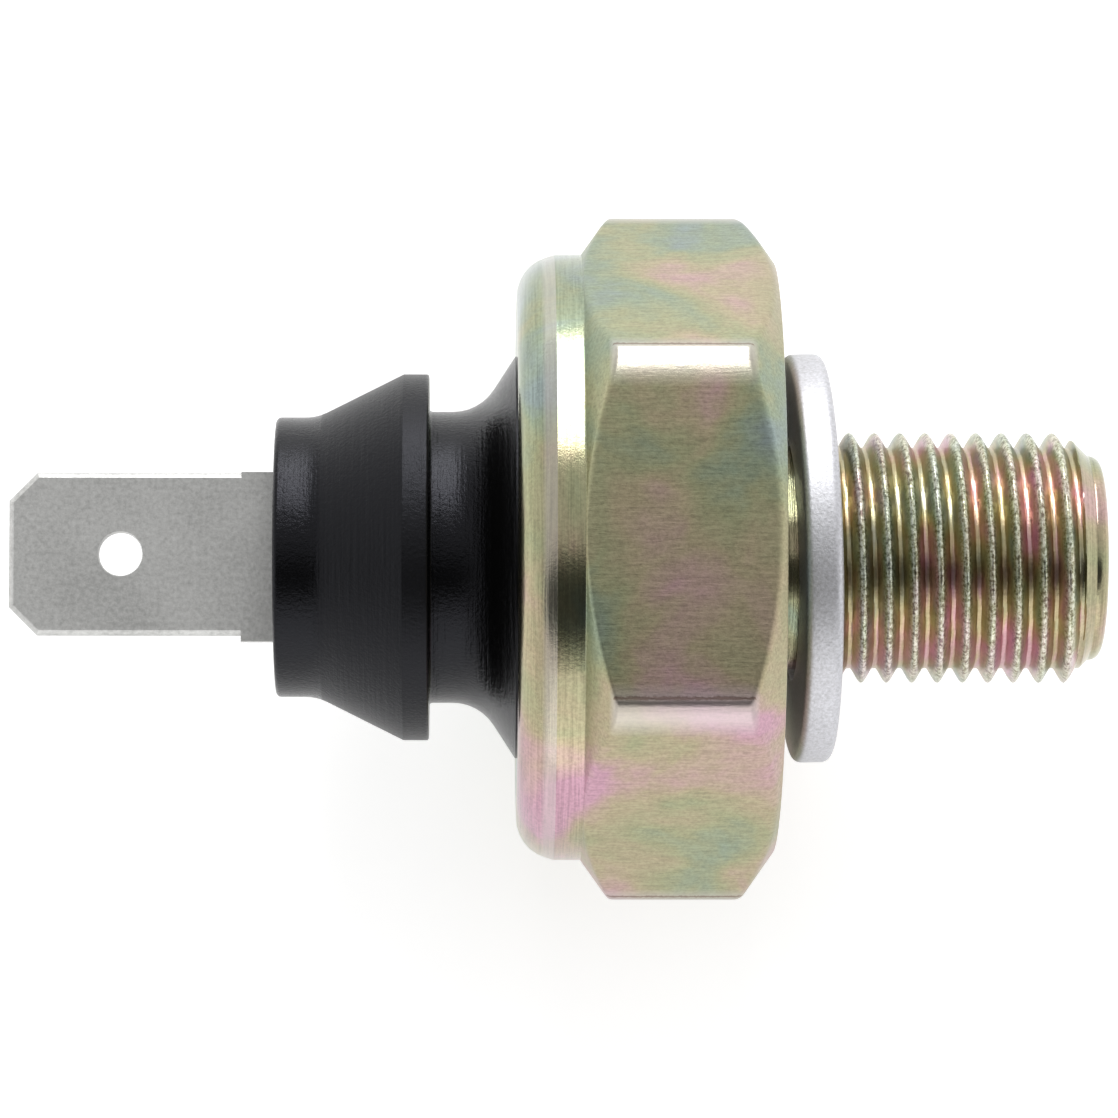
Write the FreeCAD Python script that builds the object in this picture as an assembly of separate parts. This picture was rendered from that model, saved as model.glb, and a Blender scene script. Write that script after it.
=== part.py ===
import FreeCAD, Part
import math
import os

os.makedirs("parts", exist_ok=True)

# Oil pressure sender with a male M10x1 thread, a 24 mm hexagon and one blade terminal.
# Sizes are in millimetres. The origin is the centre of the hexagon's seat face.
# +X runs along the thread to its tip, and +Z is up: the body lies on one flat of its hexagon.

# Hexagon
hex_across_flats = 23.9
hex_across_corners = 26.9
hex_length = 7.56
seat_face_radius = 11.6
seat_chamfer_length = 1.3
cup_chamfer_length = 1.1

# Cup with its rolled rim
cup_radius = 11.9
cup_wall = 1.4
cup_height = 2.57
rim_outer_rounding = 1.4
rim_dish = 0.15
rim_thickness = 0.85
rim_opening_radius = 7.95

# Threaded stub: undercut, thread at its crests, and pilot
undercut_radius = 4.4
undercut_length = 2.3
undercut_rounding = 0.3
thread_crest_radius = 4.93
stub_length = 12.9
pilot_radius = 4.03
pilot_length = 0.5
pilot_rounding = 0.45

# Oil side of the body
port_radius = 1.75
port_mouth_chamfer = 0.3
floor_thickness = 3.0
chamber_radius = 6.0
chamber_depth = 0.5
groove_inner_radius = 7.2
groove_width = 1.6
groove_depth = 1.0

# Seal ring, squeezed flat in its groove
seal_side_clearance = 0.15
seal_corner_rounding = 0.4

# Two diaphragm films, in a shallow pocket of the body
film_thickness = 0.125
film_pocket_radius = 9.6
film_edge_clearance = 0.1

# Fixed contact, stamped from sheet with a raised middle
contact_sheet = 0.8
contact_raise = 1.2
contact_step_length = 0.8
contact_rim_inner_radius = 6.7
contact_edge_clearance = 0.1
plunger_hole_radius = 2.6

# Plunger
plunger_running_clearance = 0.08
plunger_foot_radius = 4.8
plunger_foot_thickness = 0.55
spigot_radius = 1.2
spigot_length = 1.3

# Moving contact, a shallow dish
dish_radius = 4.6
dish_sheet = 0.4
dish_rim_height = 0.8
dish_hole_clearance = 0.05

# Calibration spring
spring_mean_radius = 2.5
spring_wire_radius = 0.28
spring_turns = 5.5

# Spring seat under the roof of the insulator
spring_seat_radius = 3.1
spring_seat_thickness = 0.5
tongue_clearance = 0.02

# Insulator, outside the cup
insulator_length = 19.5
collar_radius = 5.5
collar_edge_rounding = 0.35
cone_length = 3.4
cone_rounding = 2.0
lip_radius = 7.2
lip_start = 14.5
lip_length = 1.0
lip_rounding = 0.12
neck_radius = 5.73
neck_rounding = 1.9
flare_angle = 57.0
flare_clearance = 0.05

# Insulator, inside the cup
skirt_clearance = 0.15
skirt_edge_chamfer = 0.3
skirt_inner_radius = 7.0
skirt_inner_height = 3.35
spring_bore_radius = 3.3
spring_bore_cone_height = 1.6
roof_height = 8.65

# Blade terminal
blade_length = 30.0
blade_width = 6.4
blade_thickness = 0.8
blade_tip_chamfer = 1.1
blade_edge_chamfer = 0.2
blade_offset = 0.1
blade_hole_radius = 0.85
blade_hole_from_tip = 4.37
shoulder_width = 6.7
shoulder_height = 1.4
shoulder_depth = 1.0
root_width = 5.0
root_depth = 5.9
root_hole_radius = 0.9
tongue_width = 2.4
tongue_head_width = 3.2
tongue_head_thickness = 1.3
tongue_head_height = 0.4

# Sealing washer, loose on the undercut
washer_radius = 8.05
washer_bore_radius = 4.75
washer_thickness = 1.45
washer_rounding = 0.3
washer_gap = 0.65
washer_lean_up = 1.7
washer_lean_side = 1.4
washer_seat_clearance = 0.02

# Places along the axis that several pieces share
hex_end = -hex_length
rim_top = hex_end - cup_height
flange_top = rim_top + rim_dish + rim_thickness
body_floor = -floor_thickness
film_top = body_floor - 2 * film_thickness
contact_rim_top = film_top - contact_sheet
contact_top = contact_rim_top - contact_raise
dish_floor = contact_top - dish_sheet
roof = contact_rim_top - roof_height
spring_top = roof + spring_seat_thickness
cavity_radius = cup_radius - cup_wall

X_AXIS = FreeCAD.Vector(1, 0, 0)
Y_AXIS = FreeCAD.Vector(0, 1, 0)
Z_AXIS = FreeCAD.Vector(0, 0, 1)


def at(x, y=0.0, z=0.0):
    return FreeCAD.Vector(x, y, z)


def corner_cut(corner, before, after, radius):
    """Where a rounding of this radius starts, its middle, and where it ends."""
    back = (before - corner).normalize()
    on = (after - corner).normalize()
    half = back.getAngle(on) / 2
    reach = radius / math.tan(half)
    middle = (back + on).normalize() * (radius / math.sin(half) - radius)
    return corner + back * reach, corner + middle, corner + on * reach


def outline(points):
    """A closed flat face from (along, across, rounding) points, in the XY plane."""
    corners = [at(p[0], p[1]) for p in points]
    roundings = [p[2] if len(p) > 2 else 0.0 for p in points]
    edges = []
    ends = []
    for i, corner in enumerate(corners):
        before = corners[i - 1]
        after = corners[(i + 1) % len(corners)]
        if roundings[i] > 0:
            start, middle, end = corner_cut(corner, before, after, roundings[i])
            edges.append(Part.Arc(start, middle, end).toShape())
            ends.append((start, end))
        else:
            ends.append((corner, corner))
    for i, (start, end) in enumerate(ends):
        following = ends[(i + 1) % len(ends)][0]
        edges.append(Part.LineSegment(end, following).toShape())
    return Part.Face(Part.Wire(Part.__sortEdges__(edges)))


def turned(points):
    """A solid of revolution about the X axis from (along, radius, rounding) points."""
    return outline(points).revolve(at(0), X_AXIS, 360)


def cylinder(radius, start, end):
    return Part.makeCylinder(radius, end - start, at(start), X_AXIS)


def ring(inner, outer, start, end):
    return cylinder(outer, start, end).cut(cylinder(inner, start, end))


def plate(width, thickness, start, end):
    """A flat bar along X, its broad faces up and down."""
    corner = at(start, -width / 2, -thickness / 2)
    return Part.makeBox(end - start, width, thickness, corner)


def hexagon_bar(across_flats, start, end):
    """Hexagon bar along X with one flat on top and one below."""
    corner = across_flats / 2 / math.cos(math.radians(30))
    points = []
    for i in range(7):
        angle = math.radians(60 * i)
        points.append(at(start, corner * math.cos(angle), corner * math.sin(angle)))
    return Part.Face(Part.makePolygon(points)).extrude(at(end - start))


def hex_body():
    """Turned from hexagon bar: cup with rolled rim, hexagon, undercut, thread and pilot."""
    corner_radius = hex_across_corners / 2
    thread_start = undercut_length + thread_crest_radius - undercut_radius
    pilot_start = stub_length - pilot_length
    thread_end = pilot_start - (thread_crest_radius - pilot_radius)
    rim_inner = rim_top + rim_dish
    outside = turned([
        (rim_inner, 0),
        (rim_inner, rim_opening_radius),
        (rim_top, cup_radius, rim_outer_rounding),
        (hex_end, cup_radius),
        (hex_end + cup_chamfer_length, corner_radius),
        (-seat_chamfer_length, corner_radius),
        (0, seat_face_radius),
        (0, undercut_radius, undercut_rounding),
        (undercut_length, undercut_radius),
        (thread_start, thread_crest_radius),
        (thread_end, thread_crest_radius),
        (pilot_start, pilot_radius),
        (stub_length, pilot_radius, pilot_rounding),
        (stub_length, 0),
    ])
    chamber_floor = body_floor + chamber_depth
    clear = 1.0
    inside = turned([
        (rim_top - clear, 0),
        (rim_top - clear, rim_opening_radius),
        (flange_top, rim_opening_radius),
        (flange_top, cavity_radius),
        (film_top, cavity_radius),
        (film_top, film_pocket_radius),
        (body_floor, film_pocket_radius),
        (body_floor, chamber_radius),
        (chamber_floor, chamber_radius),
        (chamber_floor, port_radius),
        (stub_length - port_mouth_chamfer, port_radius),
        (stub_length, port_radius + port_mouth_chamfer),
        (stub_length + clear, port_radius + port_mouth_chamfer),
        (stub_length + clear, 0),
    ])
    groove_outer_radius = groove_inner_radius + groove_width
    groove = ring(groove_inner_radius, groove_outer_radius, body_floor, body_floor + groove_depth)
    bar = hexagon_bar(hex_across_flats, rim_top - clear, stub_length + clear)
    return outside.common(bar).cut(inside).cut(groove)


def seal_ring():
    """Rubber ring, squeezed between the groove and the films."""
    inner = groove_inner_radius + seal_side_clearance
    outer = groove_inner_radius + groove_width - seal_side_clearance
    bottom = body_floor + groove_depth
    return turned([
        (body_floor, inner, seal_corner_rounding),
        (body_floor, outer, seal_corner_rounding),
        (bottom, outer, seal_corner_rounding),
        (bottom, inner, seal_corner_rounding),
    ])


def diaphragm(layer):
    """One of the two films, counted from the oil side."""
    start = body_floor - (layer + 1) * film_thickness
    return cylinder(film_pocket_radius - film_edge_clearance, start, start + film_thickness)


def fixed_contact():
    """Stamped ring that sits on the body's ledge; the hole in its raised middle guides the plunger."""
    outer = cavity_radius - contact_edge_clearance
    step_top = contact_rim_inner_radius - contact_step_length
    slope = contact_sheet * 0.6
    return turned([
        (film_top, outer),
        (contact_rim_top, outer),
        (contact_rim_top, contact_rim_inner_radius),
        (contact_top, step_top),
        (contact_top, plunger_hole_radius),
        (contact_top + contact_sheet, plunger_hole_radius),
        (contact_top + contact_sheet, step_top - slope),
        (film_top, contact_rim_inner_radius - slope),
    ])


def plunger():
    """Push piece: broad foot on the films, guided stem, and a spigot that centres the dish."""
    stem_radius = plunger_hole_radius - plunger_running_clearance
    foot_top = film_top - plunger_foot_thickness
    spigot_top = contact_top - spigot_length
    return turned([
        (film_top, 0),
        (film_top, plunger_foot_radius),
        (foot_top, plunger_foot_radius),
        (foot_top, stem_radius),
        (contact_top, stem_radius),
        (contact_top, spigot_radius),
        (spigot_top, spigot_radius, spigot_radius / 4),
        (spigot_top, 0),
    ])


def moving_contact():
    """Pressed dish that bridges to the fixed contact and holds the foot of the spring."""
    hole = spigot_radius + dish_hole_clearance
    rim_edge = contact_top - dish_rim_height
    return turned([
        (contact_top, hole),
        (contact_top, dish_radius, dish_sheet),
        (rim_edge, dish_radius),
        (rim_edge, dish_radius - dish_sheet),
        (dish_floor, dish_radius - dish_sheet),
        (dish_floor, hole),
    ])


def calibration_spring():
    """Coil of round wire that stands on the dish and bears on the spring seat."""
    rise = dish_floor - spring_top - 2 * spring_wire_radius
    helix = Part.makeHelix(rise / spring_turns, rise, spring_mean_radius)
    section = Part.Wire(Part.makeCircle(spring_wire_radius, at(spring_mean_radius), Y_AXIS))
    coil = Part.Wire(helix.Edges).makePipeShell([section], True, True)
    coil.rotate(at(0), Y_AXIS, 90)
    coil.translate(at(spring_top + spring_wire_radius))
    return coil


def spring_seat():
    """Brass disc at the roof of the insulator, with a slot for the blade's tongue."""
    disc = cylinder(spring_seat_radius, roof, spring_top)
    slot_width = tongue_width + 2 * tongue_clearance
    slot_thickness = blade_thickness + 2 * tongue_clearance
    return disc.cut(plate(slot_width, slot_thickness, roof - 1, spring_top + 1))


def blade_terminal():
    """Stamped blade: tab, offset on its shoulders, moulded-in root, and the peened tongue."""
    tip = -blade_length
    shoulder_start = -insulator_length - shoulder_height
    shoulder_end = -insulator_length + shoulder_depth
    root_end = -insulator_length + root_depth
    low = blade_offset - blade_width / 2
    high = blade_offset + blade_width / 2
    tab = outline([
        (tip, low + blade_tip_chamfer),
        (tip + blade_tip_chamfer, low),
        (shoulder_start, low),
        (shoulder_start, high),
        (tip + blade_tip_chamfer, high),
        (tip, high - blade_tip_chamfer),
    ]).extrude(at(0, 0, blade_thickness))
    tab.translate(at(0, 0, -blade_thickness / 2))
    corners = [e for e in tab.Edges if abs(e.Curve.Direction.z) < 0.5]
    free = [e for e in corners if e.CenterOfMass.x < shoulder_start - blade_edge_chamfer]
    tab = tab.makeChamfer(blade_edge_chamfer, free)
    blade = tab.fuse([
        plate(shoulder_width, blade_thickness, shoulder_start, shoulder_end),
        plate(root_width, blade_thickness, shoulder_end, root_end),
        plate(tongue_width, blade_thickness, root_end, spring_top),
        plate(tongue_head_width, tongue_head_thickness, spring_top, spring_top + tongue_head_height),
    ]).removeSplitter()
    tab_hole = Part.makeCylinder(
        blade_hole_radius,
        2 * blade_thickness,
        at(tip + blade_hole_from_tip, blade_offset, -blade_thickness),
    )
    root_middle = (shoulder_end + root_end) / 2
    root_hole = Part.makeCylinder(
        root_hole_radius, 2 * blade_thickness, at(root_middle, 0, -blade_thickness)
    )
    return blade.cut(tab_hole).cut(root_hole)


def insulator(blade):
    """One black moulding, hollow under the cup, closed round the root of the blade."""
    cone_start = -lip_start - cone_length
    lip_end = -lip_start + lip_length
    flare_radius = rim_opening_radius - flare_clearance
    flare_run = (flare_radius - neck_radius) / math.tan(math.radians(flare_angle))
    skirt_radius = cavity_radius - skirt_clearance
    room_top = contact_rim_top - skirt_inner_height
    body = turned([
        (-insulator_length, 0),
        (-insulator_length, collar_radius, collar_edge_rounding),
        (cone_start, collar_radius, cone_rounding),
        (-lip_start, lip_radius, lip_rounding),
        (lip_end, lip_radius, lip_rounding),
        (lip_end, neck_radius),
        (rim_top - flare_run, neck_radius, neck_rounding),
        (rim_top, flare_radius),
        (flange_top, flare_radius),
        (flange_top, skirt_radius - skirt_edge_chamfer),
        (flange_top + skirt_edge_chamfer, skirt_radius),
        (contact_rim_top, skirt_radius),
        (contact_rim_top, skirt_inner_radius),
        (room_top, skirt_inner_radius),
        (room_top - spring_bore_cone_height, spring_bore_radius),
        (roof, spring_bore_radius),
        (roof, 0),
    ])
    return body.cut(blade)


def sealing_washer():
    """Flat ring that hangs on the undercut and leans a little, as it fell."""
    half = washer_thickness / 2
    washer = turned([
        (-half, washer_bore_radius),
        (-half, washer_radius, washer_rounding),
        (half, washer_radius, washer_rounding),
        (half, washer_bore_radius),
    ])
    washer.rotate(at(0), Y_AXIS, washer_lean_up)
    washer.rotate(at(0), Z_AXIS, washer_lean_side)
    lean_room = half * math.sin(math.radians(washer_lean_up + washer_lean_side))
    drop = washer_bore_radius - undercut_radius - lean_room - washer_seat_clearance
    washer.translate(at(washer_gap + half, 0, -drop))
    return washer


blade = blade_terminal()
parts = {
    "hex_body": hex_body(),
    "sealing_washer": sealing_washer(),
    "insulator": insulator(blade),
    "blade_terminal": blade,
    "spring_seat": spring_seat(),
    "calibration_spring": calibration_spring(),
    "moving_contact": moving_contact(),
    "fixed_contact": fixed_contact(),
    "plunger": plunger(),
    "diaphragm_backing": diaphragm(1),
    "diaphragm_film": diaphragm(0),
    "seal_ring": seal_ring(),
}

for name, shape in parts.items():
    shape.exportStep("parts/" + name + ".step")
    box = shape.BoundBox
    print(name, shape.isValid(), len(shape.Solids), round(shape.Volume, 1), end=" ")
    print([round(v, 2) for v in (box.XMin, box.XMax, box.YMin, box.YMax, box.ZMin, box.ZMax)])
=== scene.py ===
import math
import bmesh
import bpy
import numpy as np
from mathutils import Matrix, Vector
from mathutils.geometry import tessellate_polygon


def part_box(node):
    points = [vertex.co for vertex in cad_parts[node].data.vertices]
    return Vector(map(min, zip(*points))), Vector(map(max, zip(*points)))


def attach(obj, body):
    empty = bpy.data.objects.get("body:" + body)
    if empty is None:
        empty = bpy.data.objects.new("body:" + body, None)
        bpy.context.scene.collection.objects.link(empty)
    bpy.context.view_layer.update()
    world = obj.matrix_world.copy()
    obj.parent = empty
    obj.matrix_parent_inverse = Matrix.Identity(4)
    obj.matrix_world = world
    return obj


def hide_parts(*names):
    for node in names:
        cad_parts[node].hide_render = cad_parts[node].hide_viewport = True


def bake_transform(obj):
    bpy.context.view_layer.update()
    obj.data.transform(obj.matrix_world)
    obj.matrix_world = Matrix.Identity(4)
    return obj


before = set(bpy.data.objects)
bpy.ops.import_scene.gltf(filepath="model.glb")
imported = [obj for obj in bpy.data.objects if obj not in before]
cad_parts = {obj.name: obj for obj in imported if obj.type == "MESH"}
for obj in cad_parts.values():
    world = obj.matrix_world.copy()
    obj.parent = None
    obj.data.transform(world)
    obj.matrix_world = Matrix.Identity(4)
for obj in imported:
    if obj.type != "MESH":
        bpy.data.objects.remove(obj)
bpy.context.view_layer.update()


# Body, turned in one piece from free-cutting steel hexagon bar: cup, hexagon, undercut and stub.
# The cup's thin rim is rolled in over the insulator's flange, and the thread M10x1 is rolled into the
# stub once the washer is on. Zinc plated and yellow chromated.

# The frame is in metres. Sizes here are in millimetres, and places along X start at the seat face.
MM = 0.001
half_flats = 11.95
corner_radius = 13.45
flat_crown = 0.1
hex_end = -7.56
cup_radius = 11.9
cup_chamfer = 1.1
seat_chamfer = 1.3
seat_radius = 11.6
rim_top = -10.13
rim_proud = 0.15
rim_crease = -8.62
rim_slope = math.tan(math.radians(17))
flange_top = -9.13
rim_opening = 7.95
cavity_radius = 10.5
body_floor = -3.0
film_seat = -3.25
film_pocket = 9.6
chamber_radius = 6.0
chamber_floor = -2.5
port_radius = 1.75
port_chamfer = 0.3
undercut_radius = 4.4
undercut_end = 2.3
crest_radius = 4.93
pilot_radius = 4.03
pilot_start = 12.4
stub_end = 12.9
crimp_rounding = 1.6
seat_rounding = 0.45
pilot_rounding = 0.45
soft_edge = 0.38
sharp_edge = 0.02
sixth_turn = math.radians(60)
arc_rows = 6
thread_rows = 170
rounded_share = 0.96
weld_distance = 0.0001


def outline_rows(corners):
    """Points round a closed outline of (along, across, rounding, rows on the run that follows) corners.

    Where the roundings at both ends of a run don't fit on it, they are made smaller.
    """
    places = [np.array(c[:2], float) for c in corners]
    count = len(corners)
    runs = [places[(i + 1) % count] - places[i] for i in range(count)]
    lengths = [np.linalg.norm(run) for run in runs]
    ways = [run / length for run, length in zip(runs, lengths)]
    halves = [math.acos(np.clip(-ways[i - 1] @ ways[i], -1, 1)) / 2 for i in range(count)]
    wanted = [c[2] / math.tan(half) for c, half in zip(corners, halves)]
    spare = [min(1.0, rounded_share * lengths[i] / max(wanted[i] + wanted[(i + 1) % count], 1e-9))
             for i in range(count)]
    reaches = [wanted[i] * min(spare[i - 1], spare[i]) for i in range(count)]
    rows = []
    for i, (_, _, rounding, run_rows) in enumerate(corners):
        if rounding > 0:
            reach = reaches[i]
            half = halves[i]
            inward = (ways[i] - ways[i - 1]) / np.linalg.norm(ways[i] - ways[i - 1])
            centre = places[i] + inward * reach / math.cos(half)
            first = places[i] - ways[i - 1] * reach - centre
            last = places[i] + ways[i] * reach - centre
            sweep = math.pi - 2 * half
            for k in range(arc_rows + 1):
                t = k / arc_rows
                blend = math.sin((1 - t) * sweep) * first + math.sin(t * sweep) * last
                rows.append(centre + blend / math.sin(sweep))
        else:
            rows.append(places[i])
        after = (i + 1) % count
        start, end = rows[-1], places[after] - ways[i] * reaches[after]
        rows += [start + (end - start) * k / run_rows for k in range(1, run_rows)]
    return rows


def soft_min(a, b, width):
    """The lesser of two sizes, rounded off where they meet."""
    h = max(width - abs(a - b), 0.0) / width
    return min(a, b) - h * h * width / 4


def body_outline(from_flat):
    """Half section of the blank at this angle from the middle of the nearest flat.

    The corners are turned, which leaves the edge where the tool runs off the flat soft and the other
    edge sharp.
    """
    softness = soft_edge if from_flat > 0 else sharp_edge
    crowned = half_flats - flat_crown * (2 * from_flat / sixth_turn) ** 2
    reach = soft_min(crowned / math.cos(from_flat), corner_radius, softness)
    cup_share = (reach - cup_radius) / (corner_radius - cup_radius)
    seat_share = (reach - seat_radius) / (corner_radius - seat_radius)
    return outline_rows([
        (flange_top, rim_opening, 0, 2),
        (rim_top + rim_proud, rim_opening, 0.15, 4),
        (rim_top, cup_radius - (rim_crease - rim_top) * rim_slope, crimp_rounding, 4),
        (rim_crease, cup_radius, 0.03, 4),
        (hex_end, cup_radius, 0.08, 2),
        (hex_end + cup_chamfer * cup_share, reach, 0.3, 4),
        (-seat_chamfer * seat_share, reach, seat_rounding, 4),
        (0, seat_radius, 0.15, 4),
        (0, undercut_radius, 0.3, 8),
        (undercut_end, undercut_radius, 0.1, 8),
        (undercut_end + crest_radius - undercut_radius, crest_radius, 0.1, thread_rows),
        (pilot_start - crest_radius + pilot_radius, crest_radius, 0.08, 18),
        (pilot_start, pilot_radius, 0.05, 3),
        (stub_end, pilot_radius, pilot_rounding, 4),
        (stub_end, port_radius + port_chamfer, 0.05, 2),
        (stub_end - port_chamfer, port_radius, 0.05, 2),
        (chamber_floor, port_radius, 0, 2),
        (chamber_floor, chamber_radius, 0, 1),
        (body_floor, chamber_radius, 0, 2),
        (body_floor, film_pocket, 0, 1),
        (film_seat, film_pocket, 0, 1),
        (film_seat, cavity_radius, 0, 3),
        (flange_top, cavity_radius, 0, 2),
    ])


def even(start, end, steps):
    """Places spaced evenly from the start up to just before the end."""
    return [start + (end - start) * k / steps for k in range(steps)]


def hexagon_angles():
    """Each column's angle round the axis in degrees and its angle from the nearest flat's middle.

    The turned corners begin 27.3 degrees from the middle of a flat, so the columns crowd there: on one
    side round the soft edge, and on the other closely round the sharp one.
    """
    corner_middle = 30
    soft_from = 21
    sharp_near = 25
    sharp_from = 26.9
    sharp_to = 27.7
    soft = even(0, soft_from, 6) + even(soft_from, corner_middle, 18)
    sharp = even(0, sharp_near, 7) + even(sharp_near, sharp_from, 4)
    sharp += even(sharp_from, sharp_to, 8) + even(sharp_to, corner_middle, 4)
    sector = [-corner_middle] + [-a for a in sharp[:0:-1]] + soft
    return [(60 * k + a, math.radians(a)) for k in range(6) for a in sector]


def new_object(name, verts, faces):
    """An object of the scene whose mesh has these points and faces."""
    mesh = bpy.data.meshes.new(name)
    mesh.from_pydata(verts, [], faces)
    mesh.update()
    obj = bpy.data.objects.new(name, mesh)
    bpy.context.scene.collection.objects.link(obj)
    return obj


def revolved(name, angles, outline_at):
    """A mesh turned about the X axis, its outline worked out afresh for each column's own angle."""
    columns = [outline_at(own) for _, own in angles]
    rows = len(columns[0])
    verts = []
    for (angle, _), column in zip(angles, columns):
        sin, cos = math.sin(math.radians(angle)), math.cos(math.radians(angle))
        verts += [(x * MM, r * sin * MM, r * cos * MM) for x, r in column]
    faces = []
    for c in range(len(angles)):
        after = (c + 1) % len(angles)
        for r in range(rows):
            up = (r + 1) % rows
            faces.append((c * rows + r, c * rows + up, after * rows + up, after * rows + r))
    return new_object(name, verts, faces)


def outward(obj, sharp=35):
    """Welds doubles, turns every face outwards and shades smooth up to this angle in degrees."""
    work = bmesh.new()
    work.from_mesh(obj.data)
    bmesh.ops.remove_doubles(work, verts=work.verts, dist=weld_distance * MM)
    bmesh.ops.recalc_face_normals(work, faces=work.faces)
    work.to_mesh(obj.data)
    work.free()
    obj.data.shade_smooth()
    obj.data.set_sharp_from_angle(angle=math.radians(sharp))


body = revolved("hex_body_turned", hexagon_angles(), body_outline)


def linear(colour):
    """An sRGB hex colour as linear RGBA."""
    parts = [int(colour[i:i + 2], 16) / 255 for i in (1, 3, 5)]
    return [c / 12.92 if c <= 0.04045 else ((c + 0.055) / 1.055) ** 2.4 for c in parts] + [1.0]


def add(owner, kind, settings=None, **links):
    """Adds a node to a material, world or node tree.

    Settings go by attribute or socket name, a ramp's stops as (place, hex colour). Links and values
    go by socket name, or by socket number after an s. A node as a link means its first output.
    """
    tree = getattr(owner, "node_tree", owner)
    new = tree.nodes.new(kind)
    for key, value in (settings or {}).items():
        if key == "stops":
            elements = new.color_ramp.elements
            while len(elements) < len(value):
                elements.new(0.5)
            for element, (place, colour) in zip(elements, value):
                element.position = place
                element.color = linear(colour)
        elif hasattr(new, key):
            setattr(new, key, value)
        else:
            new.inputs[key].default_value = value
    for key, source in links.items():
        socket = new.inputs[int(key[1:])] if key[0] == "s" and key[1:].isdigit() else new.inputs[key]
        if isinstance(source, bpy.types.Node):
            source = source.outputs[0]
        if isinstance(source, bpy.types.NodeSocket):
            tree.links.new(source, socket)
        else:
            socket.default_value = source
    return new


def new_material(name):
    """An empty material, named for its finish."""
    material = bpy.data.materials.new(name)
    material.use_nodes = True
    material.node_tree.nodes.clear()
    return material


# Patterns are given as features to the millimetre. Three numbers are for the three axes, so that a line
# 0.8 mm long and 0.11 mm wide along the thread's axis is (1.2, 9, 9).
clouds_per_mm = 0.17
bath_streaks_per_mm = (1.5, 0.38, 0.38)
drawn_lines_per_mm = (1.2, 9, 9)
turned_lines_per_mm = (14, 0.4, 0.4)
grains_per_mm = 7
chromate_colours = [(0.27, "#8e9b98"), (0.37, "#939f88"), (0.46, "#a3a482"),
                    (0.55, "#b1a588"), (0.63, "#baa097"), (0.72, "#c39aaa")]
line_shades = [(0.36, "#403d3a"), (0.46, "#b6b3b0"), (0.60, "#ffffff")]
line_depth = 0.34
grain_share = 0.45
# The pale film's colour, which also paints the reflection on the rim's rounding.
pale_film_and_reflection_colour = "#c0b9b6"
thin_corner_start = 13.1
thin_corner_full = 13.4
# Where the painted reflection on the rim's rounding begins:
rim_reflection_start = -9.2
rim_reflection_full = -9.0
thick_film = "#5d3f30"
thick_film_radius = 13.3
thick_film_turn = 0.449
thick_film_waver = 0.012
root_gold = "#cda070"
root_gold_full = 4.4
root_gold_end = 4.7
# Painted glints and dark specks on the thread's crests:
painted_crest_glints = [(0.36, "#4a463a"), (0.47, "#aeb096"), (0.60, "#eef0e2")]
glint_start = 4.62
glint_full = 4.88
glint_share = 0.6
full_thread_end = 11.8
thread_roughness = 0.09


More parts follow.
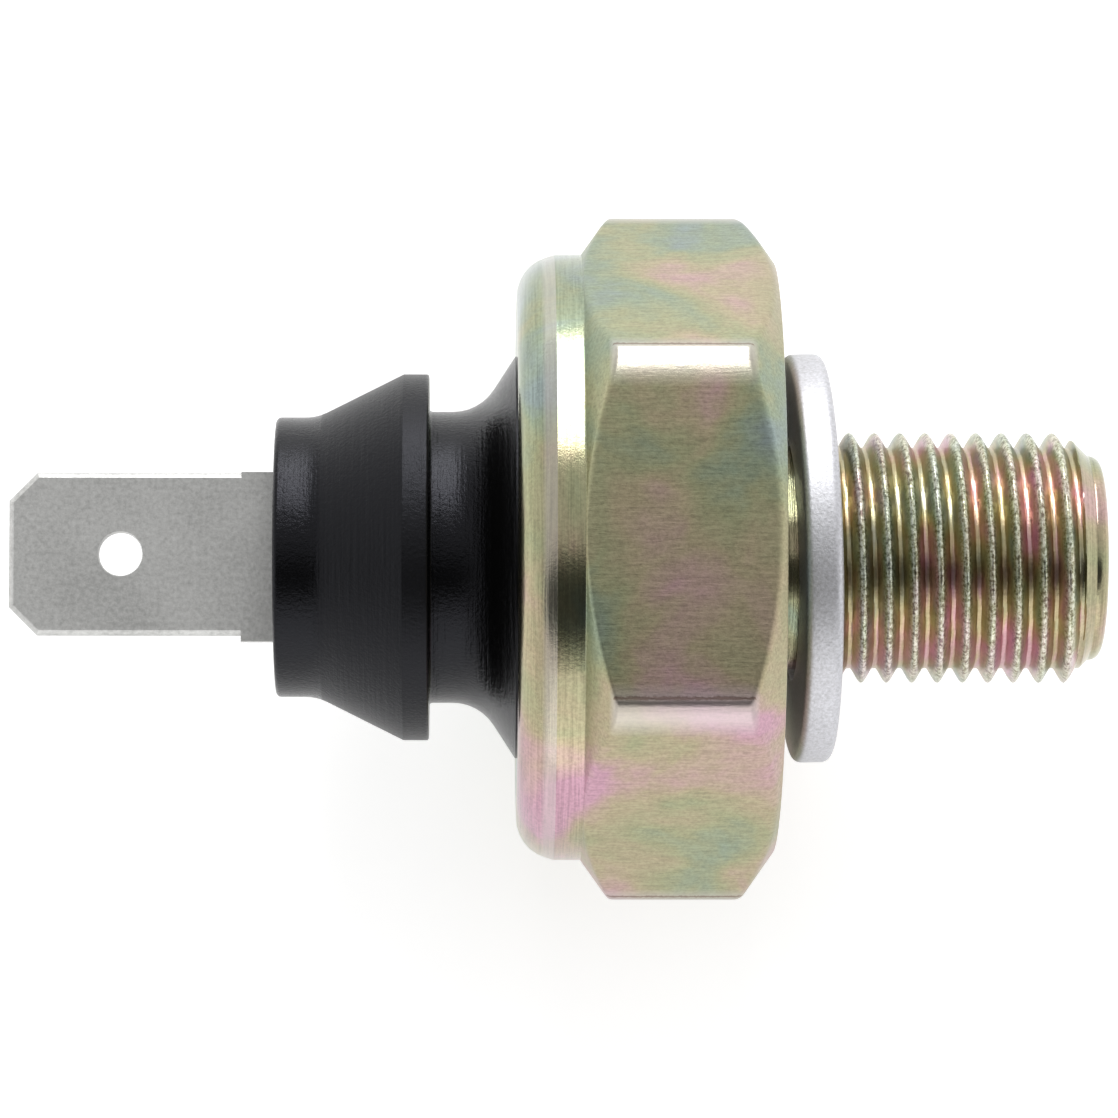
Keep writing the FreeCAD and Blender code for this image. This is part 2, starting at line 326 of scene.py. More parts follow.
def chromate():
    """Yellow chromate on bright zinc over drawn and turned steel.

    The bath leaves a thin film of uneven colour: gold with green, pink and blue-grey clouds, satin, with
    fine lines along the drawn flats and round the turned parts.
    """
    m = new_material("yellow_chromated_zinc")
    place = add(m, "ShaderNodeTexCoord").outputs["Object"]
    along, across, up = add(m, "ShaderNodeSeparateXYZ", s0=place).outputs
    # The film's colour drifts in clouds about 6 mm wide, from blue-grey and green to tan and pink.
    cloud = add(m, "ShaderNodeTexNoise", {"Scale": clouds_per_mm / MM, "Detail": 4.0, "Roughness": 0.5,
                                         "Distortion": 0.5}, Vector=place)
    # The colour also leans across the sender: towards blue-grey and green on the +Y side, and towards tan
    # and pink on the -Y side.
    lean = add(m, "ShaderNodeMapRange", {"From Min": -cup_radius * MM, "From Max": cup_radius * MM,
                                         "To Min": 0.07, "To Max": -0.11}, Value=across)
    clouded = add(m, "ShaderNodeMath", {"operation": "ADD"}, s0=lean, s1=cloud)
    # On the stub, where the bath runs in the grooves, they are under a millimetre wide.
    after_undercut = add(m, "ShaderNodeMath", {"operation": "GREATER_THAN"}, s0=along,
                         s1=undercut_end * MM)
    before_pilot = add(m, "ShaderNodeMath", {"operation": "LESS_THAN"}, s0=along, s1=full_thread_end * MM)
    stub = add(m, "ShaderNodeMath", {"operation": "MULTIPLY"}, s0=after_undercut, s1=before_pilot)
    grooved = add(m, "ShaderNodeMapping", {"Scale": [n / MM for n in bath_streaks_per_mm]}, Vector=place)
    streak = add(m, "ShaderNodeTexNoise", {"Scale": 1.0, "Detail": 2.0}, Vector=grooved)
    swing = add(m, "ShaderNodeMapRange", {"From Min": 0.3, "From Max": 0.7, "To Min": -0.22,
                                          "To Max": 0.22, "clamp": False}, Value=streak)
    drift = add(m, "ShaderNodeMath", {"operation": "MULTIPLY_ADD"}, s0=swing, s1=stub, s2=clouded)
    hue = add(m, "ShaderNodeValToRGB", {"stops": chromate_colours}, s0=drift)
    # Lines: drawn ones run along the hexagon's flats, turned ones round the cup and the stub. The real
    # ones are finer, and so is the grain of the plating, which is drawn 0.14 mm wide so that it shows.
    drawn = add(m, "ShaderNodeMapping", {"Scale": [n / MM for n in drawn_lines_per_mm]}, Vector=place)
    turned = add(m, "ShaderNodeMapping", {"Scale": [n / MM for n in turned_lines_per_mm]}, Vector=place)
    drawn_line = add(m, "ShaderNodeTexNoise", {"Scale": 1.0, "Detail": 4.0, "Roughness": 0.7},
                     Vector=drawn)
    turned_line = add(m, "ShaderNodeTexNoise", {"Scale": 1.0, "Detail": 3.0}, Vector=turned)
    after_cup = add(m, "ShaderNodeMath", {"operation": "GREATER_THAN"}, s0=along, s1=hex_end * MM)
    before_seat = add(m, "ShaderNodeMath", {"operation": "LESS_THAN"}, s0=along, s1=0.0)
    flat = add(m, "ShaderNodeMath", {"operation": "MULTIPLY"}, s0=after_cup, s1=before_seat)
    line = add(m, "ShaderNodeMix", s0=flat, s2=turned_line, s3=drawn_line)
    grain = add(m, "ShaderNodeTexNoise", {"Scale": grains_per_mm / MM, "Detail": 2.0, "Roughness": 0.7},
                Vector=place)
    both = add(m, "ShaderNodeMix", s0=grain_share, s2=line, s3=grain)
    shade = add(m, "ShaderNodeValToRGB", {"stops": line_shades}, s0=both)
    colour = add(m, "ShaderNodeMix", {"data_type": "RGBA", "blend_type": "MULTIPLY"},
                 s0=line_depth, s6=hue, s7=shade)
    # The plating is thin and pale on the hexagon's turned corners.
    radial = add(m, "ShaderNodeCombineXYZ", s1=across, s2=up)
    radius = add(m, "ShaderNodeVectorMath", {"operation": "LENGTH"}, s0=radial)
    corner = add(m, "ShaderNodeMapRange", {"From Min": thin_corner_start * MM,
                                           "From Max": thin_corner_full * MM, "To Max": 0.6},
                 Value=radius.outputs["Value"])
    # Painted reflection: the strip of the rim's rounding next to its crease is painted pale, standing in
    # for the bright room mirrored there.
    painted_rim_reflection_start = add(m, "ShaderNodeMapRange", {"From Min": rim_reflection_start * MM,
                                                "From Max": rim_reflection_full * MM, "To Max": 0.4},
                      Value=along)
    painted_rim_reflection_end = add(m, "ShaderNodeMath", {"operation": "LESS_THAN"}, s0=along, s1=rim_crease * MM)
    painted_rim_reflection = add(m, "ShaderNodeMath", {"operation": "MULTIPLY"}, s0=painted_rim_reflection_start, s1=painted_rim_reflection_end)
    # One mask for both: the pale film on the corners, and the painted reflection on the rim.
    thin_film_and_rim_reflection = add(m, "ShaderNodeMath", {"operation": "MAXIMUM"}, s0=painted_rim_reflection, s1=corner)
    pale_film_and_rim_reflection = add(m, "ShaderNodeMix", {"data_type": "RGBA"}, s0=thin_film_and_rim_reflection,
               s6=colour.outputs[2], s7=linear(pale_film_and_reflection_colour))
    # A thin brown line of thick film follows the sharp edge of each flat, 27.3 degrees to one side of
    # its middle. That is 0.449 of a sixth of a turn, with the mean of the waver.
    turn = add(m, "ShaderNodeMath", {"operation": "ARCTAN2"}, s0=across, s1=up)
    waver = add(m, "ShaderNodeMath", {"operation": "MULTIPLY_ADD"}, s0=grain,
                s1=thick_film_waver, s2=turn)
    sixth = add(m, "ShaderNodeMath", {"operation": "MULTIPLY_ADD"}, s0=waver,
                s1=1 / sixth_turn, s2=thick_film_turn)
    ridge = add(m, "ShaderNodeMath", {"operation": "PINGPONG"}, s0=sixth, s1=0.5)
    edge = add(m, "ShaderNodeMapRange", {"From Min": 0.002, "From Max": 0.006, "To Min": 0.6,
                                         "To Max": 0.0}, Value=ridge)
    outermost = add(m, "ShaderNodeMath", {"operation": "GREATER_THAN"}, s0=radius.outputs["Value"],
                    s1=thick_film_radius * MM)
    edged = add(m, "ShaderNodeMath", {"operation": "MULTIPLY"}, s0=edge, s1=outermost)
    worn = add(m, "ShaderNodeMix", {"data_type": "RGBA"}, s0=edged,
               s6=pale_film_and_rim_reflection.outputs[2], s7=linear(thick_film))
    # The bath lingers in the thread's roots and leaves them a deeper gold.
    root = add(m, "ShaderNodeMapRange", {"From Min": root_gold_full * MM, "From Max": root_gold_end * MM,
                                         "To Min": 0.2, "To Max": 0.0}, Value=radius.outputs["Value"])
    rooted = add(m, "ShaderNodeMath", {"operation": "MULTIPLY"}, s0=stub, s1=root)
    golden = add(m, "ShaderNodeMix", {"data_type": "RGBA"}, s0=rooted,
                 s6=worn.outputs[2], s7=linear(root_gold))
    # Rolling leaves the thread's crests slightly open and broken, which the bump shows. Their glitter is
    # painted into the colour as painted glints and dark specks on the crests.
    crest = add(m, "ShaderNodeMapRange", {"From Min": glint_start * MM, "From Max": glint_full * MM},
                Value=radius.outputs["Value"])
    broken_crest_and_painted_glint = add(m, "ShaderNodeMath", {"operation": "MULTIPLY"}, s0=stub, s1=crest)
    painted_glint = add(m, "ShaderNodeValToRGB", {"stops": painted_crest_glints}, s0=grain)
    share = add(m, "ShaderNodeMath", {"operation": "MULTIPLY"}, s0=broken_crest_and_painted_glint, s1=glint_share)
    crested = add(m, "ShaderNodeMix", {"data_type": "RGBA"}, s0=share, s6=golden.outputs[2], s7=painted_glint)
    height = add(m, "ShaderNodeMath", {"operation": "MULTIPLY_ADD"}, s0=broken_crest_and_painted_glint, s1=grain, s2=both)
    base_rough = add(m, "ShaderNodeMapRange", {"To Min": 0.19, "To Max": 0.33}, Value=flat)
    rough = add(m, "ShaderNodeMath", {"operation": "MULTIPLY_ADD"}, s0=stub,
                s1=thread_roughness, s2=base_rough)
    bump = add(m, "ShaderNodeBump", {"Strength": 0.4, "Distance": 0.03 * MM}, Height=height)
    shader = add(m, "ShaderNodeBsdfPrincipled", {"Metallic": 1.0}, s0=crested.outputs[2],
                 Roughness=rough, Normal=bump)
    add(m, "ShaderNodeOutputMaterial", Surface=shader)
    return m


zinc = chromate()


# The thread's form, M10x1: one turn for each millimetre along the stub.
thread_pitch = 1.0
thread_depth = 0.58
crest_flat = 0.13
crest_rounding = 0.25
root_rounding = 0.08
thread_start = 2.0
thread_end = 12.5
stub_core = 3.0


def new_tree(name, sizes):
    """A Geometry Nodes tree with these named sizes as its inputs, and the sockets that give them."""
    tree = bpy.data.node_groups.new(name, "GeometryNodeTree")
    face = tree.interface
    face.new_socket("Geometry", in_out="INPUT", socket_type="NodeSocketGeometry")
    for label, value in sizes.items():
        face.new_socket(label, in_out="INPUT", socket_type="NodeSocketFloat").default_value = value
    face.new_socket("Geometry", in_out="OUTPUT", socket_type="NodeSocketGeometry")
    return tree, add(tree, "NodeGroupInput").outputs


def end_tree(tree, geometry, material):
    """Ends a tree with its geometry made real and in this material."""
    real = add(tree, "GeometryNodeRealizeInstances", s0=geometry)
    dressed = add(tree, "GeometryNodeSetMaterial", {"Material": material}, s0=real)
    add(tree, "NodeGroupOutput", s0=dressed)


def thread_tree(material):
    """The stub's thread: sixty degree flanks, rounded crests and roots, right-handed.

    It runs out over the chamfers at both ends, so the last crest before the pilot is only partial.
    """
    tree, given = new_tree("rolled_thread", {
        "Pitch": thread_pitch * MM, "Depth": thread_depth * MM, "Crest Radius": crest_radius * MM,
        "Crest Flat": crest_flat * MM, "Crest Rounding": crest_rounding * MM,
        "Root Rounding": root_rounding * MM, "From": thread_start * MM, "To": thread_end * MM})
    place = add(tree, "GeometryNodeInputPosition")
    along, across, up = add(tree, "ShaderNodeSeparateXYZ", s0=place).outputs
    across_squared = add(tree, "ShaderNodeMath", {"operation": "MULTIPLY"}, s0=across, s1=across)
    up_squared = add(tree, "ShaderNodeMath", {"operation": "MULTIPLY"}, s0=up, s1=up)
    squared = add(tree, "ShaderNodeMath", {"operation": "ADD"}, s0=across_squared, s1=up_squared)
    radius = add(tree, "ShaderNodeMath", {"operation": "SQRT"}, s0=squared)
    # How far this place lies from the nearest crest of the helix, and so how deep the flank is here.
    angle = add(tree, "ShaderNodeMath", {"operation": "ARCTAN2"}, s0=up, s1=across)
    turns = add(tree, "ShaderNodeMath", {"operation": "DIVIDE"}, s0=angle, s1=2 * math.pi)
    pitches = add(tree, "ShaderNodeMath", {"operation": "DIVIDE"}, s0=along, s1=given["Pitch"])
    ahead = add(tree, "ShaderNodeMath", {"operation": "SUBTRACT"}, s0=pitches, s1=turns)
    phase = add(tree, "ShaderNodeMath", {"operation": "FRACT"}, s0=ahead)
    from_crest = add(tree, "ShaderNodeMath", {"operation": "PINGPONG"}, s0=phase, s1=0.5)
    aside = add(tree, "ShaderNodeMath", {"operation": "MULTIPLY"}, s0=from_crest, s1=given["Pitch"])
    flank = add(tree, "ShaderNodeMath", {"operation": "MULTIPLY"}, s0=aside, s1=math.sqrt(3))
    sharp = add(tree, "ShaderNodeMath", {"operation": "SUBTRACT"}, s0=flank, s1=given["Crest Flat"])
    crested = add(tree, "ShaderNodeMath", {"operation": "SMOOTH_MAX"}, s0=sharp, s1=0.0,
                  s2=given["Crest Rounding"])
    depth = add(tree, "ShaderNodeMath", {"operation": "SMOOTH_MIN"}, s0=crested, s1=given["Depth"],
                s2=given["Root Rounding"])
    pressed = add(tree, "ShaderNodeMath", {"operation": "SUBTRACT"}, s0=given["Crest Radius"], s1=depth)
    wanted = add(tree, "ShaderNodeMath", {"operation": "MINIMUM"}, s0=pressed, s1=radius)
    scale = add(tree, "ShaderNodeMath", {"operation": "DIVIDE"}, s0=wanted, s1=radius)
    new_across = add(tree, "ShaderNodeMath", {"operation": "MULTIPLY"}, s0=across, s1=scale)
    new_up = add(tree, "ShaderNodeMath", {"operation": "MULTIPLY"}, s0=up, s1=scale)
    moved = add(tree, "ShaderNodeCombineXYZ", s0=along, s1=new_across, s2=new_up)
    # Only the outside of the stub between its two chamfers is pressed, and not its drilling.
    past = add(tree, "FunctionNodeCompare", {"data_type": "FLOAT"}, s0=along, s1=given["From"])
    short = add(tree, "FunctionNodeCompare", {"data_type": "FLOAT", "operation": "LESS_THAN"},
                s0=along, s1=given["To"])
    outer = add(tree, "FunctionNodeCompare", {"data_type": "FLOAT"}, s0=radius, s1=stub_core * MM)
    between = add(tree, "FunctionNodeBooleanMath", s0=past, s1=short)
    where = add(tree, "FunctionNodeBooleanMath", s0=between, s1=outer)
    cut = add(tree, "GeometryNodeSetPosition", s0=given["Geometry"], s1=where, s2=moved)
    end_tree(tree, cut, material)
    return tree


def made_real(obj, tree):
    """Runs a node tree on the object and keeps its result as a plain mesh."""
    modifier = obj.modifiers.new(tree.name, "NODES")
    modifier.node_group = tree
    for item in tree.interface.items_tree:
        if item.in_out == "INPUT" and item.socket_type == "NodeSocketFloat":
            modifier[item.identifier] = item.default_value
    evaluated = obj.evaluated_get(bpy.context.evaluated_depsgraph_get())
    mesh = bpy.data.meshes.new_from_object(evaluated)
    obj.modifiers.remove(modifier)
    obj.data = mesh
    mesh.name = obj.name


body.data.materials.append(zinc)
made_real(body, thread_tree(zinc))
outward(body)
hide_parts("hex_body")
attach(body, "housing")


# Insulator, one black moulding in glass-filled polyamide.
# The collar and neck come glossy from a polished tool, the cone and lip satin from a turned one.
# Its flange and skirt sit inside the cup, and the blade is moulded into its core.
insulator_end = -19.5
collar_radius = 5.5
cone_start = -17.9
lip_start = -14.5
lip_end = -13.5
lip_radius = 7.2
neck_radius = 5.73
flare_end = rim_top
flare_radius = 7.9
flare_slope = math.tan(math.radians(57))
skirt_radius = 10.35
skirt_end = -4.05
skirt_inner = 7.0
room_top = -7.4
bore_radius = 3.3
bore_top = -9.0
roof = -12.7
skirt_chamfer = 0.3
cone_rounding = 2.0
neck_rounding = 1.9
core_seam = 0.02
round_columns = 192


def insulator_outline(_):
    """Half section of the moulding, the same at every angle."""
    return outline_rows([
        (insulator_end, core_seam, 0, 10),
        (insulator_end, collar_radius, 0.2, 6),
        (cone_start, collar_radius, cone_rounding, 14),
        (lip_start, lip_radius, 0.08, 4),
        (lip_end, lip_radius, 0.1, 4),
        (lip_end, neck_radius, 0.15, 6),
        (flare_end - (flare_radius - neck_radius) / flare_slope, neck_radius, neck_rounding, 6),
        (flare_end, flare_radius, 0, 2),
        (flange_top, flare_radius, 0, 2),
        (flange_top, skirt_radius - skirt_chamfer, 0, 1),
        (flange_top + skirt_chamfer, skirt_radius, 0, 3),
        (skirt_end, skirt_radius, 0, 2),
        (skirt_end, skirt_inner, 0, 2),
        (room_top, skirt_inner, 0, 2),
        (bore_top, bore_radius, 0, 2),
        (roof, bore_radius, 0, 2),
        (roof, core_seam, 0, 1),
    ])


def round_angles(count):
    """Angles of this many even columns round the axis, for a piece that is the same at each."""
    return [(360 * k / count, 0.0) for k in range(count)]


insulator = revolved("insulator_moulding", round_angles(round_columns), insulator_outline)
outward(insulator, 40)


mould_rings_per_mm = (7, 0.3, 0.3)
collar_gloss_end = -17.75
cone_satin_start = -17.65
lip_satin_end = -13.65
neck_gloss_start = -13.45
gloss_black = "#050505"
satin_black = "#090909"


def black_plastic():
    """Black glass-filled polyamide, moulded: deep black and glossy, or satin with fine rings.

    The grain of the fibres and the rings of the tool are both drawn 0.14 mm wide, so that they show.
    """
    m = new_material("moulded_black_polyamide")
    place = add(m, "ShaderNodeTexCoord").outputs["Object"]
    along = add(m, "ShaderNodeSeparateXYZ", s0=place).outputs[0]
    grain = add(m, "ShaderNodeTexNoise", {"Scale": grains_per_mm / MM, "Detail": 3.0, "Roughness": 0.7},
                Vector=place)
    ringed = add(m, "ShaderNodeMapping", {"Scale": [n / MM for n in mould_rings_per_mm]}, Vector=place)
    rings = add(m, "ShaderNodeTexNoise", {"Scale": 1.0, "Detail": 3.0}, Vector=ringed)
    collar = add(m, "ShaderNodeMapRange", {"From Min": collar_gloss_end * MM,
                                           "From Max": cone_satin_start * MM}, Value=along)
    neck = add(m, "ShaderNodeMapRange", {"From Min": lip_satin_end * MM,
                                         "From Max": neck_gloss_start * MM}, Value=along)
    satin = add(m, "ShaderNodeMath", {"operation": "SUBTRACT"}, s0=collar, s1=neck)
    tone = add(m, "ShaderNodeMix", {"data_type": "RGBA"}, s0=satin,
               s6=linear(gloss_black), s7=linear(satin_black))
    rough = add(m, "ShaderNodeMapRange", {"To Min": 0.22, "To Max": 0.36}, Value=satin)
    height = add(m, "ShaderNodeMath", {"operation": "ADD"}, s0=grain, s1=rings)
    bump = add(m, "ShaderNodeBump", {"Strength": 0.6, "Distance": 0.04 * MM}, Height=height)
    shader = add(m, "ShaderNodeBsdfPrincipled", {"Specular IOR Level": 0.22,
                                                "Specular Tint": linear("#eef0ff")},
                 s0=tone.outputs[2], Roughness=rough, Normal=bump)
    add(m, "ShaderNodeOutputMaterial", Surface=shader)
    return m


insulator.data.materials.append(black_plastic())
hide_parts("insulator")
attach(insulator, "housing")


# Blade terminal, stamped from 0.8 mm brass strip and tinned.
# The tab is coined along its edges and nose so that the receptacle slides on, and its shoulders are
# left square from the die; below the collar the root is moulded in and the tongue peened over.
blade_tip = -30.0
blade_half = 3.2
blade_thickness = 0.8
tip_chamfer = 1.1
hole_centre = -25.63
hole_radius = 0.85
shoulder_start = -20.9
shoulder_end = -18.5
shoulder_half = 3.35
tab_offset = 0.1
root_half = 2.5
root_end = -13.6
tongue_half = 1.2
tongue_end = -12.2
moulding_hole_radius = 0.9
coined = 0.2
square = 0.02
hole_burr = 0.04


def inset(loop, amounts):
    """The loop moved inwards by its own amount on each edge, the edge that starts at each point."""
    moved = []
    for i, place in enumerate(loop):
        before, here, after = (Vector(loop[k % len(loop)]) for k in (i - 1, i, i + 1))
        into = here - before
        on = after - here
        start = here + Vector((-into.y, into.x)).normalized() * amounts[i - 1]
        end = here + Vector((-on.y, on.x)).normalized() * amounts[i]
        share = (end - start).cross(on) / into.cross(on)
        moved.append(tuple(start + into * share))
    return moved


def stamped(name, rim, rim_edges, holes, thickness):
    """A flat plate from anticlockwise loops in mm, each edge of the rim coined by its own amount."""
    # Each step of the coined edge is (share of its depth from the face, share of its width still cut).
    steps = [(0.0, 1.0), (0.1, 0.82), (0.82, 0.1), (1.0, 0.0)]
    half = thickness / 2
    levels = [(-half + deep * coined, away) for deep, away in steps]
    levels += [(half - deep * coined, away) for deep, away in reversed(steps)]
    loops = [(rim, rim_edges)] + [(hole, [-hole_burr] * len(hole)) for hole in holes]
    verts = []
    faces = []
    caps = ([], [])
    for loop, amounts in loops:
        first = len(verts)
        count = len(loop)
        for height, away in levels:
            moved = inset(loop, [amount * away for amount in amounts])
            verts += [(x * MM, y * MM, height * MM) for x, y in moved]
        for level in range(len(levels) - 1):
            for i in range(count):
                j = (i + 1) % count
                low = first + level * count
                faces.append((low + i, low + j, low + count + j, low + count + i))
        caps[0].append(range(first, first + count))
        caps[1].append(range(len(verts) - count, len(verts)))
    for cap in caps:
        flat = [[Vector((verts[i][0], verts[i][1], 0)) for i in ring] for ring in cap]
        order = [i for ring in cap for i in ring]
        faces += [tuple(order[k] for k in face) for face in tessellate_polygon(flat)]
    return new_object(name, verts, faces)


def circle(x, y, radius, count):
    """This many points round a circle, anticlockwise."""
    turn = [2 * math.pi * k / count for k in range(count)]
    return [(x + radius * math.cos(a), y + radius * math.sin(a)) for a in turn]


# Each rim point is (along, across, coining of the edge that follows).
low_edge = tab_offset - blade_half
high_edge = tab_offset + blade_half
rim = [
    (blade_tip, low_edge + tip_chamfer, coined), (blade_tip + tip_chamfer, low_edge, coined),
    (shoulder_start, low_edge, square), (shoulder_start, -shoulder_half, square),
    (shoulder_end, -shoulder_half, square), (shoulder_end, -root_half, square),
    (root_end, -root_half, square), (root_end, -tongue_half, square),
    (tongue_end, -tongue_half, square), (tongue_end, tongue_half, square),
    (root_end, tongue_half, square), (root_end, root_half, square),
    (shoulder_end, root_half, square), (shoulder_end, shoulder_half, square),
    (shoulder_start, shoulder_half, square), (shoulder_start, high_edge, coined),
    (blade_tip + tip_chamfer, high_edge, coined), (blade_tip, high_edge - tip_chamfer, coined),
]
tab_hole = circle(hole_centre, tab_offset, hole_radius, 64)
root_hole = circle((shoulder_end + root_end) / 2, 0, moulding_hole_radius, 32)
blade = stamped("blade_stamped", [r[:2] for r in rim], [r[2] for r in rim],
                [tab_hole, root_hole], blade_thickness)
outward(blade, 20)


tin_grains_per_mm = 5
tin_clouds_per_mm = 0.3
tin_cloud_share = 0.3
tin_greys = [(0.36, "#ababa9"), (0.5, "#bdbdbb"), (0.64, "#cacac8")]


def tin():
    """Matt tin, electroplated on rolled brass strip: an even, soft grey with a faint mottle.

    Its crystals are far finer, and are drawn 0.2 mm wide so that they show.
    """
    m = new_material("matt_tinned_brass")
    place = add(m, "ShaderNodeTexCoord").outputs["Object"]
    grain = add(m, "ShaderNodeTexNoise", {"Scale": tin_grains_per_mm / MM, "Detail": 4.0,
                                         "Roughness": 0.7}, Vector=place)
    cloud = add(m, "ShaderNodeTexNoise", {"Scale": tin_clouds_per_mm / MM, "Detail": 3.0}, Vector=place)
    both = add(m, "ShaderNodeMix", s0=tin_cloud_share, s2=grain, s3=cloud)
    tone = add(m, "ShaderNodeValToRGB", {"stops": tin_greys}, s0=both)
    bump = add(m, "ShaderNodeBump", {"Strength": 0.35, "Distance": 0.02 * MM}, Height=grain)
    shader = add(m, "ShaderNodeBsdfPrincipled", {"Metallic": 1.0, "Roughness": 0.48},
                 s0=tone, Normal=bump)
    add(m, "ShaderNodeOutputMaterial", Surface=shader)
    return m


blade.data.materials.append(tin())
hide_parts("blade_terminal")
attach(blade, "housing")


# Sealing washer, a flat ring of bare aluminium.
# Punched, deburred by tumbling, and pushed over the stub before the thread is rolled, which traps it.
# It hangs on the undercut by the top of its bore and leans as it fell.
washer_radius = 8.05
washer_bore = 4.75
washer_thickness = 1.45
washer_lean_up = math.radians(1.7)
washer_lean_side = math.radians(1.4)


def washer_outline(_):
    """Section of the ring, the same at every angle."""
    half = washer_thickness / 2
    return outline_rows([
        (-half, washer_bore, 0.1, 6),
        (-half, washer_radius, 0.3, 3),
        (half, washer_radius, 0.35, 6),
        (half, washer_bore, 0.1, 3),
    ])


washer = revolved("washer_ring", round_angles(round_columns), washer_outline)
washer_low, washer_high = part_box("sealing_washer")
lean = Matrix.Rotation(washer_lean_side, 4, "Z") @ Matrix.Rotation(washer_lean_up, 4, "Y")
middle = (washer_low + washer_high) / 2
washer.data.transform(Matrix.Translation(middle) @ lean)
outward(washer)


washer_grains_per_mm = 8
washer_greys = [(0.3, "#b2b2b5"), (0.65, "#d0d0d5")]


def aluminium():
    """Bare aluminium, tumbled: pale and soft, with a fine sparkle from the dents of the tumbling.

    The dents are 0.12 mm wide.
    """
    m = new_material("tumbled_aluminium")
    place = add(m, "ShaderNodeTexCoord").outputs["Object"]
    grain = add(m, "ShaderNodeTexNoise", {"Scale": washer_grains_per_mm / MM, "Detail": 3.0,
                                         "Roughness": 0.7}, Vector=place)
    tone = add(m, "ShaderNodeValToRGB", {"stops": washer_greys}, s0=grain)
    bump = add(m, "ShaderNodeBump", {"Strength": 0.5, "Distance": 0.03 * MM}, Height=grain)
    shader = add(m, "ShaderNodeBsdfPrincipled", {"Metallic": 1.0, "Roughness": 0.5}, s0=tone, Normal=bump)
    add(m, "ShaderNodeOutputMaterial", Surface=shader)
    return m


washer.data.materials.append(aluminium())
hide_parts("sealing_washer")
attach(washer, "housing")


# Pieces inside the cup, which the closed body hides.
# Seal ring and films below, then the fixed contact, the plunger with its dish, and the brass seat.
# Each keeps its CAD solid and gets the finish of its real material.
def plain_finish(name, low, high, mottles_per_mm, **sockets):
    """A finish with a fine mottle between two close tones."""
    m = new_material(name)
    place = add(m, "ShaderNodeTexCoord").outputs["Object"]
    grain = add(m, "ShaderNodeTexNoise", {"Scale": mottles_per_mm / MM, "Detail": 3.0}, Vector=place)
    tone = add(m, "ShaderNodeValToRGB", {"stops": [(0.35, low), (0.65, high)]}, s0=grain)
    bump = add(m, "ShaderNodeBump", {"Strength": 0.2, "Distance": 0.01 * MM}, Height=grain)
    shader = add(m, "ShaderNodeBsdfPrincipled", sockets, s0=tone, Normal=bump)
    add(m, "ShaderNodeOutputMaterial", Surface=shader)
    return m


# Moulded rubber is dull black, film a clear-looking amber, stamped steel a cold satin grey, acetal
# milky, silver plate warm and bright, and brass yellow.
inner = {
    "seal_ring": plain_finish("nitrile_rubber", "#141414", "#1d1d1e", 2.5, Roughness=0.6),
    "diaphragm_film": plain_finish("polyimide_film", "#8f4a08", "#a2580f", 0.9, Roughness=0.25),
    "diaphragm_backing": plain_finish("polyimide_backing", "#96500c", "#aa6014", 0.9, Roughness=0.25),
    "fixed_contact": plain_finish("stamped_zinc_steel", "#a9aaa8", "#c2c3c1", 1.5,
                                  Metallic=1.0, Roughness=0.38),
    "plunger": plain_finish("moulded_natural_acetal", "#d8d5c8", "#e4e1d5", 1.2, Roughness=0.4),
    "moving_contact": plain_finish("silver_plated_brass", "#d3d0c6", "#e8e5dc", 1.5,
                                   Metallic=1.0, Roughness=0.3),
    "spring_seat": plain_finish("stamped_brass", "#c9a14e", "#d8b260", 1.5,
                                Metallic=1.0, Roughness=0.35),
}
for node, finish in inner.items():
    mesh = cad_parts[node].data
    mesh.materials.clear()
    mesh.materials.append(finish)


# Calibration spring, which sets the pressure that lifts the plunger's dish off the contact.
# Coiled cold from drawn spring steel wire with plain ends, satin grey. It stands in the dish and
# bears on the brass seat, so the real one shortens as the plunger rises; here it keeps the length of
# the CAD spring.
wire_radius = 0.28
coil_radius = 2.5
coil_turns = 5.5
points_a_turn = 48
points_round_wire = 16


def spring_tree(material, start, rise):
    """The coil, drawn about Z, right-handed, and then laid along X."""
    tree, given = new_tree("coiled_spring", {
        "Wire Radius": wire_radius * MM, "Coil Radius": coil_radius * MM, "Turns": coil_turns,
        "Start": start, "Rise": rise})
    coil = add(tree, "GeometryNodeCurveSpiral", {"Resolution": points_a_turn, "Reverse": True},
               s1=given["Turns"], s2=given["Coil Radius"], s3=given["Coil Radius"], s4=given["Rise"])
    wire = add(tree, "GeometryNodeCurvePrimitiveCircle", {"Resolution": points_round_wire},
               Radius=given["Wire Radius"])
    swept = add(tree, "GeometryNodeCurveToMesh", {"Fill Caps": True}, s0=coil, s1=wire)
    place = add(tree, "ShaderNodeCombineXYZ", s0=given["Start"])
    laid = add(tree, "GeometryNodeTransform", {"Rotation": (0, math.pi / 2, 0)}, s0=swept,
               Translation=place)
    end_tree(tree, laid, material)
    return tree


spring_wire = plain_finish("drawn_spring_wire", "#8d8e90", "#a6a7a9", 3.0,
                           Metallic=1.0, Roughness=0.32)
spring_low, spring_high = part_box("calibration_spring")
spring_start = spring_low.x + wire_radius * MM
spring_rise = spring_high.x - spring_low.x - 2 * wire_radius * MM
spring = new_object("spring_coiled", [], [])
spring.data.materials.append(spring_wire)
made_real(spring, spring_tree(spring_wire, spring_start, spring_rise))
outward(spring)
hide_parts("calibration_spring")
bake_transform(spring)


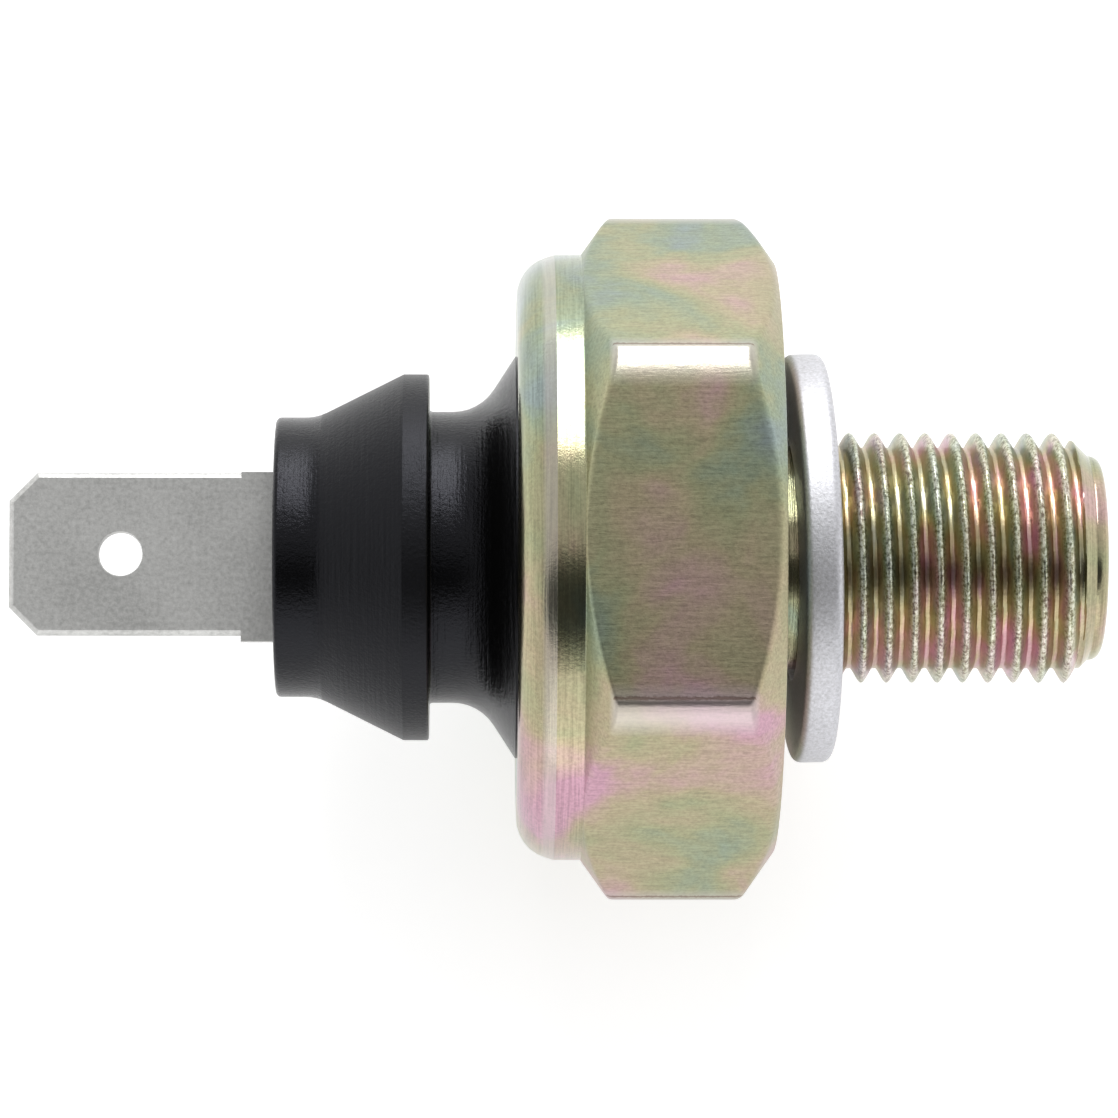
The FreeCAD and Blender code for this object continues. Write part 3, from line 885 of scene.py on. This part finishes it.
# Setting: a plain white paper floor, two soft lights in a pale room, and the camera above.
# The paper glows a little, as a backdrop does that is lit until it burns out.
# The sender lies on it on one flat of its hexagon.
floor_level = -half_flats * MM
floor_reach = 3.0
floor_object = new_object("floor", [
    (-floor_reach, -floor_reach, floor_level), (floor_reach, -floor_reach, floor_level),
    (floor_reach, floor_reach, floor_level), (-floor_reach, floor_reach, floor_level)],
    [(0, 1, 2, 3)])
paper = new_material("white_paper")
paper_shader = add(paper, "ShaderNodeBsdfPrincipled", {
    "Base Color": linear("#f4f4f4"), "Roughness": 0.9, "Specular IOR Level": 0.1,
    "Emission Color": linear("#ffffff"), "Emission Strength": 0.42})
add(paper, "ShaderNodeOutputMaterial", Surface=paper_shader)
floor_object.data.materials.append(paper)


light_distance = 0.5


def softbox(name, from_up, round_up, width, height, power):
    """A white area light that faces the sender, at these angles from straight up and round Z."""
    light = bpy.data.lights.new(name, "AREA")
    light.shape = "RECTANGLE"
    light.size = width
    light.size_y = height
    light.energy = power
    obj = bpy.data.objects.new(name, light)
    tilt, turn = math.radians(from_up), math.radians(round_up)
    away = Vector((math.sin(tilt) * math.cos(turn), math.sin(tilt) * math.sin(turn), math.cos(tilt)))
    obj.location = away * light_distance
    obj.rotation_euler = away.to_track_quat("Z", "X").to_euler()
    bpy.context.scene.collection.objects.link(obj)
    obj.visible_camera = False


softbox("key", from_up=62, round_up=90, width=0.46, height=0.2, power=1.8)
softbox("fill", from_up=72, round_up=-90, width=0.5, height=0.6, power=0.55)

# The room is white at the floor and greyer overhead, where one dark strip along the sender's axis
# gives the turned metal its dark bands.
strip_tilt = math.radians(-21.5)
strip_core = math.radians(11)
strip_edge = math.radians(25)
strip_shortness = (0.32, 1, 1)
strip_grey = "#3c3c3c"
world = bpy.data.worlds.new("studio")
world.use_nodes = True
world.node_tree.nodes.clear()
bpy.context.scene.world = world
heading = add(world, "ShaderNodeTexCoord").outputs["Generated"]
height = add(world, "ShaderNodeSeparateXYZ", s0=heading).outputs[2]
walls = add(world, "ShaderNodeValToRGB", {
    "stops": [(0.0, "#ffffff"), (0.35, "#ececec"), (0.9, "#c8c8c8")]}, s0=height)
narrowed = add(world, "ShaderNodeVectorMath", {"operation": "MULTIPLY"}, s0=heading, s1=strip_shortness)
evened = add(world, "ShaderNodeVectorMath", {"operation": "NORMALIZE"}, s0=narrowed)
toward = add(world, "ShaderNodeVectorMath", {"operation": "DOT_PRODUCT"}, s0=evened,
             s1=(0.0, math.sin(strip_tilt), math.cos(strip_tilt)))
dark = add(world, "ShaderNodeMapRange", {"interpolation_type": "SMOOTHSTEP",
                                         "From Min": math.cos(strip_edge),
                                         "From Max": math.cos(strip_core)},
           Value=toward.outputs["Value"])
sky = add(world, "ShaderNodeMix", {"data_type": "RGBA"}, s0=dark, s6=walls, s7=linear(strip_grey))
room_light = add(world, "ShaderNodeBackground", {"Strength": 1.24}, Color=sky.outputs[2])
add(world, "ShaderNodeOutputWorld", Surface=room_light)
bpy.context.scene.view_settings.view_transform = "Standard"

# The camera looks down on the sender, about four degrees from plumb, on a frame 44 mm wide.
camera_data = bpy.data.cameras.new("camera")
camera = bpy.data.objects.new("camera", camera_data)
bpy.context.scene.collection.objects.link(camera)
bpy.context.scene.camera = camera
camera_distance = 220 * MM
camera_aside = -3.5 * MM
camera_elevation = math.radians(85.8)
sensor_width = 36
frame_width = 44.02 * MM
target = Vector((-8.39, -0.06, 0)) * MM
camera_data.sensor_width = sensor_width
camera_data.lens = sensor_width * camera_distance / frame_width
camera.location = target + Vector((camera_aside, -camera_distance * math.cos(camera_elevation),
                                   camera_distance * math.sin(camera_elevation)))
facing = (camera.location - target).normalized()
rightward = Vector((0, 1, 0)).cross(facing).normalized()
upward = facing.cross(rightward)
camera.rotation_euler = Matrix((rightward, upward, facing)).transposed().to_euler()
camera_data.clip_start = 0.01
camera_data.clip_end = 20
